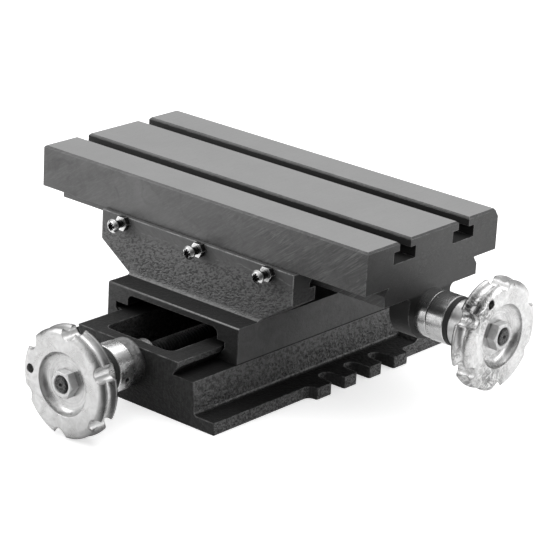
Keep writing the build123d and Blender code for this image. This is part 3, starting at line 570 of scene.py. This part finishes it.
def base_iron():
    """Cast iron, darker on its front and back than on its flanks: rough flanks, a foot whose top is
    painted near black as painted shade, edges and root lightened as wear and painted highlight,
    painted shade in its crevices, ledge and pocket, and a bare seat for the dial.
    """
    g = Finish("base_iron")
    x, y, z = (g.axis("place", i) for i in range(3))
    cast = g.stretched((340, 340, 480), 2.0, 0.5, warp=0.6)
    lumps = g.noise(120.0, 2.0, 0.5)
    cloud = g.noise(16.0, 4.0, 0.6)
    stain = g.noise(170.0, 5.0, 0.7, warp=1.0)
    dark, light = base_front(g, cast, cloud), base_flanks(g, cast, cloud)
    colour = g.blend(g.on_ends(), dark, light)
    # painted shade: the top of the foot is painted near black
    foot = g.blend(g.spread(cloud, 0.3, 0.7), grey(0.005), grey(0.009))
    colour = g.blend(g.both(g.on_tops(), g.below(z, *FOOT_TOP_Z)), colour, foot)
    # edges and creases are lightened, partly wear and partly a painted highlight
    worn_edge_highlight = g.both(g.edge_and_crease(0.0016), g.spread(g.noise(170.0), 0.42, 0.58, 0.10, 0.9))
    colour = g.blend(worn_edge_highlight, colour, grey(0.26))
    # painted highlight: a light line is painted along the flanks' root
    root = g.both(g.between(z, ROOT_START_Z, ROOT_END_Z), g.below(g.facing(1), 0.3, 0.5))
    root = g.both(root, g.spread(g.noise(260.0), 0.38, 0.55, 0.3, 1.0))
    colour = g.blend(root, colour, grey(0.40))
    seat = g.spread(y, BASE_FRONT - SEAT_START, BASE_FRONT - SEAT_FULL)
    bare = g.blend(g.spread(stain, 0.35, 0.65), grey(0.34), grey(0.16))
    colour = g.blend(seat, colour, bare)
    # painted shade: crevices are painted near black
    colour = g.blend(g.crevice(0.012, 0.10, 0.50), colour, grey(0.004))
    # painted shade: the ledge and the pocket are painted near black
    ledge = g.both(g.on_tops(), g.below(z, *LEDGE_TOP_Z))
    pocket = g.math("MAXIMUM", g.crevice(0.045, 0.30, 0.80), ledge)
    pocket = g.both(pocket, g.below(g.math("ABSOLUTE", x), *POCKET_HALF_X))
    colour = g.blend(pocket, colour, grey(0.005))
    g.finish(colour, g.spread(seat, 0.0, 1.0, 0.62, 0.40), 0.1, 0.28)
    rough = g.spread(g.facing(0), 0.6, 0.9, 0.45, 1.0)
    rough = g.both(rough, g.spread(z, *FLANK_SMOOTHER_Z, 1.0, 0.4))
    g.relief([(lumps, 0.0014, rough), (cast, 0.0032, rough)], edge=0.0007)
    return g.material


def cast_aluminium(drive, along, pitted, bright, rim, patches=()):
    """Tumbled cast aluminium: softly dented, with painted shade in its holes, pitted most in its
    patches, which also carry a painted dark reflection, and turned around its middle. Along is its
    axis, bright its share of full brightness, below 1 on the lower wheel as painted shade, and rim
    how much its rim is darkened as painted shade."""
    g = Finish(f"{drive}_cast_aluminium")
    low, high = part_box(f"{drive}_handwheel")
    flat = [1, 1, 1]
    flat[along] = 0
    radius = g.distance([(a + b) / 2 * f for a, b, f in zip(low, high, flat)], g.scaled(flat))
    rings = g.lines(radius, 900.0)
    turned = g.below(radius, TURNED_FACE, TURNED_FACE + TURNED_EDGE)
    mottle = g.noise(110.0, 4.0, 0.6, warp=0.8)
    fine = g.noise(700.0, 3.0, 0.6)
    broad = g.noise(34.0, 3.0, 0.5)
    pits = g.below(g.cells(330.0), 0.05, 0.14)
    pits = g.both(pits, g.spread(g.noise(40.0), 0.62 - pitted, 0.70 - pitted))
    veins = g.noise(230.0, 5.0, 0.75, warp=1.2)
    # bright below 1 paints the whole wheel darker, as painted shade
    dim, clear = grey(0.60 * bright, 0.004), grey(0.78 * bright, 0.002)
    colour = g.blend(g.spread(mottle, 0.38, 0.62), dim, clear)
    # painted shade: the rim is painted darker
    colour = g.blend(g.spread(radius, *RIM_SHADE, 0.0, rim), colour, grey(0.22))
    stained = g.spread(veins, 0.52 - pitted, 0.66, 0.0, 0.22 + pitted * 3)
    colour = g.blend(stained, colour, grey(0.36))
    colour = g.blend(g.both(turned, g.spread(rings, 0.40, 0.60, 0.0, 0.4)), colour, grey(0.45))
    colour = g.blend(g.both(pits, 0.7), colour, grey(0.14))
    # the patches are pitting and also a painted dark reflection
    for place, reach, share in patches:
        near = g.below(g.distance(place), reach * 0.3, reach, share)
        colour = g.blend(g.both(near, g.spread(veins, 0.42, 0.54)), colour, grey(0.06))
    # painted shade: holes and gaps are painted near black
    colour = g.blend(g.crevice(0.007, 0.12, 0.45), colour, grey(0.012))
    g.finish(colour, g.spread(mottle, 0.3, 0.75, 0.24, 0.38), 0.9)
    dents = g.spread(turned, 0.0, 1.0, 0.22 + pitted * 2, 0.05)
    layers = [
        (broad, 0.0016, 0.2),
        (mottle, 0.0008, dents),
        (fine, 0.0001, 0.3),
        (rings, 0.0002, g.both(turned, 0.35)),
    ]
    g.relief(layers, edge=0.0012)
    return g.material


def upper_wheel_patches():
    """The upper handwheel's pitted patches, which also carry a painted dark reflection: a place,
    its reach and its strength.
    """
    low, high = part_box("x_handwheel")
    face = high[0] - WHEEL_RIM / 2
    middle, level = (low[1] + high[1]) / 2, (low[2] + high[2]) / 2
    patches = []
    for across, up, reach, share in WHEEL_PATCHES:
        patches.append(((face, middle + across, level + up), reach, share))
    return patches


def turned_steel(name, shade, rough, along, gap):
    """Turned steel with fine rings around its axis: along is that axis, gap where it has a dark
    joint line."""
    g = Finish(name)
    stretch = [6.0, 6.0, 6.0]
    stretch[along] = 2600.0
    rings = g.stretched(stretch, 3.0, 0.6)
    stain = g.noise(150.0, 5.0, 0.65, warp=1.2)
    colour = g.blend(g.spread(stain, 0.45, 0.75), grey(shade), grey(shade * 0.7))
    line = g.below(g.off(g.axis("place", along), gap), *GAP_HALF)
    colour = g.blend(line, colour, grey(0.01))
    g.finish(colour, g.spread(stain, 0.3, 0.75, rough, rough + 0.14), 1.0)
    g.relief([(rings, 0.00005, 0.35), (stain, 0.0001, 0.12)], edge=0.0003)
    return g.material


def oiled_steel(drive, along):
    """Dark turned steel, grainy on the stud's sawn end; along is the leadscrew's axis."""
    g = Finish(f"{drive}_oiled_steel")
    grain = g.noise(900.0, 3.0, 0.7)
    marks = g.noise(150.0, 4.0, 0.6)
    low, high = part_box(f"{drive}_leadscrew")
    tip = high[0] if drive == "x" else low[1]
    sawn = g.below(g.off(g.axis("place", along), tip), SCREW_BEVEL * 0.4, SCREW_BEVEL * 0.6)
    colour = g.blend(g.spread(marks, 0.35, 0.7), grey(0.028), grey(0.060))
    rough_end = g.blend(g.spread(grain, 0.44, 0.58), grey(0.020), grey(0.120))
    colour = g.blend(sawn, colour, rough_end)
    g.finish(colour, g.spread(marks, 0.3, 0.75, 0.36, 0.50), 0.6)
    g.relief([(grain, 0.0004, g.both(sawn, 0.5)), (marks, 0.0001, 0.2)])
    return g.material


def plated_steel():
    """Dull plating with handling marks and painted shade in its recesses."""
    g = Finish("plated_steel")
    marks = g.noise(260.0, 4.0, 0.6, warp=0.6)
    colour = g.blend(g.spread(marks, 0.4, 0.75), grey(0.86), grey(0.64))
    # painted shade: recesses are painted near black
    colour = g.blend(g.crevice(0.0022, 0.25, 0.70), colour, grey(0.012))
    g.finish(colour, g.spread(marks, 0.3, 0.75, 0.36, 0.50), 0.40)
    g.relief([(marks, 0.0001, 0.25)], edge=0.0004)
    return g.material


def painted_highlight_nuts(name, along):
    """Blackened nuts whose ends are painted bright as painted highlight and whose edges are
    lightened partly as wear and partly as painted highlight; along is their axis.
    """
    g = Finish(name)
    marks = g.noise(420.0, 4.0, 0.6)
    colour = g.blend(g.spread(marks, 0.35, 0.7), grey(0.03), grey(0.12))
    # painted highlight: the ends of the nuts are painted bright
    colour = g.blend(g.spread(g.facing(along), 0.4, 0.6, 0.0, 0.75), colour, grey(0.90))
    # edges are lightened, partly wear and partly a painted highlight
    colour = g.blend(g.edge_and_crease(0.0014), colour, grey(0.92))
    g.finish(colour, g.spread(marks, 0.3, 0.75, 0.22, 0.36), 0.95)
    g.relief([(marks, 0.0001, 0.25)], edge=0.0004)
    return g.material


def gib_screws(drive, along):
    """Screws with bright heads, painted shade in their crevices and in a cross around each recess,
    and dark shanks; along is their axis.
    """
    node = f"{drive}_gib_screws"
    g = Finish(node + "_finish")
    marks = g.noise(420.0, 4.0, 0.6)
    low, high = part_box(node)
    start = low[along] + HEAD_HIGH
    half = (high[2] - low[2]) / 2
    offs = []
    for centre in (low[1 - along] + half, MIDDLE_SCREW[drive], high[1 - along] - half):
        offs.append(g.off(g.axis("place", 1 - along), centre))
    side = g.math("MINIMUM", g.math("MINIMUM", offs[0], offs[1]), offs[2])
    rise = g.off(g.axis("place", 2), low[2] + half)
    cross = g.below(g.math("MINIMUM", side, rise), CROSS_HALF * 0.8, CROSS_HALF)
    within = g.below(g.math("MAXIMUM", side, rise), CROSS_REACH * 0.9, CROSS_REACH)
    cross = g.both(cross, within)
    head = g.below(g.math("SUBTRACT", g.axis("place", along), start), 0.0, HEAD_EDGE)
    bright = g.blend(g.spread(marks, 0.4, 0.75), grey(0.85), grey(0.60))
    # painted shade: crevices on the heads are painted near black
    bright = g.blend(g.crevice(0.0034, 0.60, 0.97), bright, grey(0.006))
    # painted shade: a cross wider than the recess is painted near black
    bright = g.blend(cross, bright, grey(0.010))
    colour = g.blend(head, grey(0.03), bright)
    g.finish(colour, g.spread(marks, 0.3, 0.75, 0.14, 0.28), 0.95)
    g.relief([(marks, 0.0001, 0.2)], edge=0.0004)
    return g.material


def dark_piece(name, shade, rough, metal):
    """A dark oxide, rubber or ink surface with a little unevenness."""
    g = Finish(name)
    marks = g.noise(240.0, 4.0, 0.6)
    colour = g.blend(g.spread(marks, 0.35, 0.7), grey(shade), grey(shade * 1.7))
    g.finish(colour, g.spread(marks, 0.3, 0.75, rough, rough + 0.12), metal)
    g.relief([(marks, 0.0001, 0.25)])
    return g.material


def bronze():
    """Machined bronze, darkened by oil."""
    g = Finish("bronze")
    marks = g.stretched((900, 900, 60), 4.0, 0.6)
    colour = g.blend(g.spread(marks, 0.3, 0.75), (0.50, 0.33, 0.14, 1), (0.34, 0.21, 0.08, 1))
    g.finish(colour, g.spread(marks, 0.3, 0.75, 0.28, 0.45), 1.0)
    g.relief([(marks, 0.00008, 0.3)])
    return g.material


def dress(node, material):
    """Give a CAD node its finish."""
    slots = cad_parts[node].material_slots
    for slot in slots:
        slot.link = "OBJECT"
        slot.material = material


def dress_nodes():
    """Every CAD node's material."""
    # lit and shaded copies of one turned steel: the y drive's is painted brighter as painted light
    steel_x = turned_steel("turned_steel_x", shade=0.66, rough=0.16, along=0, gap=X_GAP)
    steel_y = turned_steel("turned_steel_y", shade=0.86, rough=0.22, along=1, gap=Y_GAP)
    black = dark_piece("black_oxide", shade=0.022, rough=0.42, metal=0.6)
    rubber = dark_piece("black_rubber", shade=0.012, rough=0.55, metal=0.0)
    plate = plated_steel()
    yellow = bronze()
    patches_with_dark_reflection = upper_wheel_patches()
    # the lower wheel is a darker copy of the same cast aluminium, as painted shade, with its rim
    # darkened more
    wheels = {
        "x": cast_aluminium("x", 0, pitted=0.06, bright=1.0, rim=0.15, patches=patches_with_dark_reflection),
        "y": cast_aluminium("y", 1, pitted=0.0, bright=0.84, rim=0.80),
    }
    looks = {
        "base": base_iron(),
        "saddle": saddle_iron(),
        "table": table_iron(),
        "x_bearing_sleeve": steel_x,
        "y_bearing_bush": yellow,
    }
    for drive, steel in (("x", steel_x), ("y", steel_y)):
        looks[f"{drive}_gib"] = black
        looks[f"{drive}_dial"] = steel
        looks[f"{drive}_leadscrew"] = black
        looks[f"{drive}_thrust_collar"] = steel
        looks[f"{drive}_collar_pin"] = steel
        looks[f"{drive}_wheel_key"] = steel
        looks[f"{drive}_feed_nut"] = yellow
        looks[f"{drive}_feed_nut_screws"] = black
        looks[f"{drive}_dial_lock_screw"] = black
        looks[f"{drive}_friction_ring"] = rubber
        looks[f"{drive}_handwheel"] = wheels[drive]
        looks[f"{drive}_wheel_nut"] = plate
    for drive, along in (("x", 1), ("y", 0)):
        looks[f"{drive}_gib_lock_nuts"] = painted_highlight_nuts(f"{drive}_painted_highlight_nuts", along)
        looks[f"{drive}_gib_screws"] = gib_screws(drive, along)
    for node, material in looks.items():
        dress(node, material)


def new_piece(name, mesh_maker, material):
    """A mesh object made by a function that fills a bmesh."""
    shape = bmesh.new()
    mesh_maker(shape)
    bmesh.ops.recalc_face_normals(shape, faces=shape.faces)
    mesh = bpy.data.meshes.new(name)
    shape.to_mesh(mesh)
    shape.free()
    piece = bpy.data.objects.new(name, mesh)
    bpy.context.scene.collection.objects.link(piece)
    mesh.materials.append(material)
    return piece


class Screw:
    """One leadscrew's axis: lengths run outwards from its inner end, in metres."""

    def __init__(self, drive):
        self.drive = drive
        self.low, self.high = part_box(f"{drive}_leadscrew")
        self.outer = self.length_of(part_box(f"{drive}_leadscrew"), far=True)
        self.radius = (self.high[2] - self.low[2]) / 2

    def length_of(self, box, far):
        """How far out the near or far end of a box lies."""
        low, high = box
        if self.drive == "x":
            return (high if far else low)[0] - self.low[0]
        return self.high[1] - (low if far else high)[1]

    def place(self, length, radius, angle):
        """The frame's point at a length, radius and angle, right-handed about the way out."""
        side, height = radius * math.cos(angle), radius * math.sin(angle)
        middle = [(a + b) / 2 for a, b in zip(self.low, self.high)]
        if self.drive == "x":
            return (self.low[0] + length, middle[1] + side, middle[2] + height)
        return (middle[0] + side, self.high[1] - length, middle[2] + height)


def thread_radius(screw, length, start, turn):
    """The thread's radius at a length and a share of one turn."""
    share = ((length - start) / THREAD_PITCH - turn) % 1.0
    for (near, low), (far, high) in zip(THREAD_PROFILE, THREAD_PROFILE[1:]):
        if share <= far:
            depth = low + (high - low) * (share - near) / (far - near)
            return screw.radius - THREAD_DEPTH * depth


class Turned:
    """A closed mesh about a leadscrew's axis, whose corners are shared where they meet."""

    def __init__(self, shape, screw, sides):
        self.shape = shape
        self.screw = screw
        self.sides = sides
        self.corners = {}

    def corner(self, length, radius, side):
        key = (round(length / WELD), round(radius / WELD), side % self.sides)
        if key not in self.corners:
            angle = 2 * math.pi * key[2] / self.sides
            self.corners[key] = self.shape.verts.new(self.screw.place(length, radius, angle))
        return self.corners[key]

    def ring(self, length, radius):
        return [self.corner(length, radius, side) for side in range(self.sides)]

    def face(self, *corners):
        corners = list(dict.fromkeys(corners))
        if len(corners) > 2:
            self.shape.faces.new(corners)

    def join(self, near, far):
        for i in range(self.sides):
            j = (i + 1) % self.sides
            self.face(near[i], near[j], far[j], far[i])

    def lathe(self, profile, start=None):
        """Join rings through (length, radius) points and return the last ring."""
        ring = start
        for length, radius in profile:
            beyond = self.ring(length, radius)
            if ring:
                self.join(ring, beyond)
            ring = beyond
        return ring

    def thread(self, start, end):
        """A right-handed trapezoidal thread, cut off square, and its first and last rings."""
        rows = []
        for step in range(self.sides * (math.ceil((end - start) / THREAD_PITCH) + 2) + 1):
            turn = step / self.sides
            row = []
            for share, depth in THREAD_PROFILE[:-1]:
                length = start + (turn - 1 + share) * THREAD_PITCH
                radius = self.screw.radius - THREAD_DEPTH * depth
                for stop, beyond in ((start, length < start), (end, length > end)):
                    if beyond:
                        length, radius = stop, thread_radius(self.screw, stop, start, turn)
                row.append(self.corner(length, radius, step))
            rows.append(row)
        for step in range(len(rows) - self.sides - 1):
            here = rows[step] + rows[step + self.sides][:1]
            there = rows[step + 1] + rows[step + self.sides + 1][:1]
            for a, b, c, d in zip(here, there, there[1:], here[1:]):
                self.face(a, b, c, d)
        return [row[0] for row in rows[:self.sides]], [row[-1] for row in rows[-1 - self.sides:-1]]


def make_leadscrew(drive, material):
    """A threaded leadscrew with a plain inner end, a plain journal and a bevelled stud."""
    screw = Screw(drive)
    root = screw.radius - THREAD_DEPTH
    stud = screw.radius - STUD_THIN
    thread_end = screw.length_of(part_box(f"{drive}_thrust_collar"), far=False)
    stud_start = screw.length_of(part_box(f"{drive}_wheel_nut"), far=False) - STUD_BACK

    def fill(shape):
        piece = Turned(shape, screw, THREAD_SIDES)
        first, last = piece.thread(THREAD_START, thread_end)
        inner = [(0.0, root - SCREW_BEVEL), (SCREW_BEVEL, root), (THREAD_START, root)]
        neck = piece.lathe(inner)
        piece.join(neck, first)
        outer = [
            (thread_end, screw.radius),
            (stud_start, screw.radius),
            (stud_start, stud),
            (screw.outer - SCREW_BEVEL, stud),
            (screw.outer, stud - SCREW_BEVEL),
            (screw.outer, CENTRE_WIDE),
            (screw.outer - CENTRE_DEEP, CENTRE_WIDE / 4),
        ]
        tip = piece.lathe(outer, last)
        piece.face(*piece.ring(0.0, root - SCREW_BEVEL))
        piece.face(*tip)

    piece = new_piece(f"{drive}_threaded_leadscrew", fill, material)
    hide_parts(f"{drive}_leadscrew")
    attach(piece, f"{drive}_screw")


def mark_strip(shape, screw, start, long, radius, angle):
    """One thin strip on a cylinder, along its axis."""
    half = MARK_WIDE / 2 / radius
    corners = []
    for length in (start, start + long):
        for turn in (angle - half, angle + half):
            for height in (-MARK_HIGH, MARK_HIGH):
                corners.append(shape.verts.new(screw.place(length, radius + height, turn)))
    near, far = corners[:4], corners[4:]
    near = [near[0], near[1], near[3], near[2]]
    far = [far[0], far[1], far[3], far[2]]
    shape.faces.new(near)
    shape.faces.new(far)
    for i in range(4):
        j = (i + 1) % 4
        shape.faces.new((near[i], near[j], far[j], far[i]))


def make_dial_marks(drive, material):
    """The dial's engraved divisions, longer at every fifth and tenth."""
    screw = Screw(drive)
    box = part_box(f"{drive}_dial")
    radius = (box[1][2] - box[0][2]) / 2
    start = screw.length_of(box, far=False) + MARK_IN

    def fill(shape):
        for i in range(DIAL_DIVISIONS):
            long = SHORT_MARK
            if i % LONG_MARK_EVERY == 0:
                long = LONG_MARK
            elif i % MIDDLE_MARK_EVERY == 0:
                long = MIDDLE_MARK
            mark_strip(shape, screw, start, long, radius, 2 * math.pi * i / DIAL_DIVISIONS)

    piece = new_piece(f"{drive}_dial_divisions", fill, material)
    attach(piece, f"{drive}_dial")


def make_details():
    """Threads and dial marks, which the solids leave out."""
    ink = dark_piece("engraved_lines", shade=0.03, rough=0.5, metal=0.5)
    for along, drive in enumerate(("x", "y")):
        make_leadscrew(drive, oiled_steel(drive, along))
        make_dial_marks(drive, ink)


def make_camera():
    """The photograph's camera: a long lens, turned, tipped and rolled."""
    data = bpy.data.cameras.new("camera")
    data.lens = CAMERA_LENS
    data.sensor_width = CAMERA_SENSOR
    data.clip_start, data.clip_end = CAMERA_CLIP
    camera = bpy.data.objects.new("camera", data)
    bpy.context.scene.collection.objects.link(camera)
    azimuth = math.radians(CAMERA_AZIMUTH)
    elevation = math.radians(CAMERA_ELEVATION)
    forward = Vector((
        -math.sin(azimuth) * math.cos(elevation),
        math.cos(azimuth) * math.cos(elevation),
        -math.sin(elevation),
    ))
    level = Vector((math.cos(azimuth), math.sin(azimuth), 0.0))
    up = level.cross(forward)
    roll = math.radians(CAMERA_ROLL)
    right = level * math.cos(roll) + up * math.sin(roll)
    top = up * math.cos(roll) - level * math.sin(roll)
    turn = Matrix((right, top, -forward)).transposed().to_4x4()
    camera.matrix_world = Matrix.Translation(CAMERA_PLACE) @ turn
    bpy.context.scene.camera = camera


def make_light(name, place, size, power):
    """A square softbox aimed at the table."""
    data = bpy.data.lights.new(name, "AREA")
    data.size = size
    data.energy = power
    light = bpy.data.objects.new(name, data)
    bpy.context.scene.collection.objects.link(light)
    light.location = place
    light.rotation_mode = "QUATERNION"
    light.rotation_quaternion = (Vector(LIGHT_AIM) - Vector(place)).to_track_quat("-Z", "Y")


def make_world():
    """A dome of soft light with a bright wall and a dark room, which the camera sees white."""
    world = bpy.data.worlds.new("world")
    bpy.context.scene.world = world
    world.use_nodes = True
    g = Graph(world.node_tree, "Generated")
    dome = g.spread(g.axis("place", 2), 0.0, DOME_HIGH, DOME_EDGE, DOME_TOP)
    wall = g.spread(g.dot(g.coords, BRIGHT_WALL), *WALL_FACED, 0.0, WALL_STRENGTH)
    room = g.spread(g.dot(g.coords, DARK_ROOM), *ROOM_FACED, 1.0, ROOM_SHARE)
    light = g.both(g.math("ADD", dome, wall), room)
    seen = g.nodes.new("ShaderNodeLightPath").outputs["Is Camera Ray"]
    background = g.nodes["Background"]
    background.inputs["Color"].default_value = (1, 1, 1, 1)
    g.join(g.math("MAXIMUM", seen, light), background.inputs["Strength"])


def stage_white():
    """White paper: bright to the camera and in reflections, apart from a dark part to the front
    right, and dim as a light on the object."""
    g = Finish("stage_white")
    paper = g.noise(30.0, 3.0, 0.5)
    seen = g.nodes.new("ShaderNodeLightPath")
    camera, glossy = seen.outputs["Is Camera Ray"], seen.outputs["Is Glossy Ray"]
    shade = g.spread(g.axis("place", 0), *FLOOR_DARK_X)
    shade = g.both(shade, g.spread(g.axis("place", 1), *FLOOR_DARK_Y))
    white = g.blend(paper, grey(0.86), grey(0.88))
    mirrored = g.blend(shade, white, grey(0.10))
    colour = g.blend(camera, grey(FLOOR_BOUNCE), white)
    g.finish(g.blend(glossy, colour, mirrored), 0.9, 0.0)
    glow = g.both(camera, FLOOR_GLOW)
    shine = g.both(glossy, g.below(shade, 0.0, 1.0, FLOOR_SHINE))
    g.shader.inputs["Emission Color"].default_value = (1, 1, 1, 1)
    g.join(g.math("ADD", glow, shine), g.shader.inputs["Emission Strength"])
    return g.material


def make_stage():
    """A white floor that dips in front of the base, where the lower handwheel hangs past it."""
    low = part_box("base")[0]
    drop = low[2] - cad_low[2] + DIP_CLEAR
    line = [(FLOOR_REACH, low[2])]
    for step in range(DIP_STEPS + 1):
        share = step / DIP_STEPS
        fall = (1 - math.cos(math.pi * share)) / 2
        line.append((low[1] + DIP_INSET - DIP_LONG * share, low[2] - drop * fall))
    line.append((-FLOOR_REACH, low[2] - drop))

    def fill(shape):
        """A sheet that follows the line from back to front."""
        sides = (-FLOOR_REACH, FLOOR_REACH)
        rows = [[shape.verts.new((x, y, z)) for y, z in line] for x in sides]
        for i in range(len(line) - 1):
            face = shape.faces.new((rows[0][i], rows[1][i], rows[1][i + 1], rows[0][i + 1]))
            face.smooth = True

    floor = new_piece("floor", fill, stage_white())


dress_nodes()
make_details()
make_camera()
make_world()
for softbox in SOFTBOXES:
    make_light(*softbox)
make_stage()

bpy.context.scene.view_settings.view_transform = "Standard"
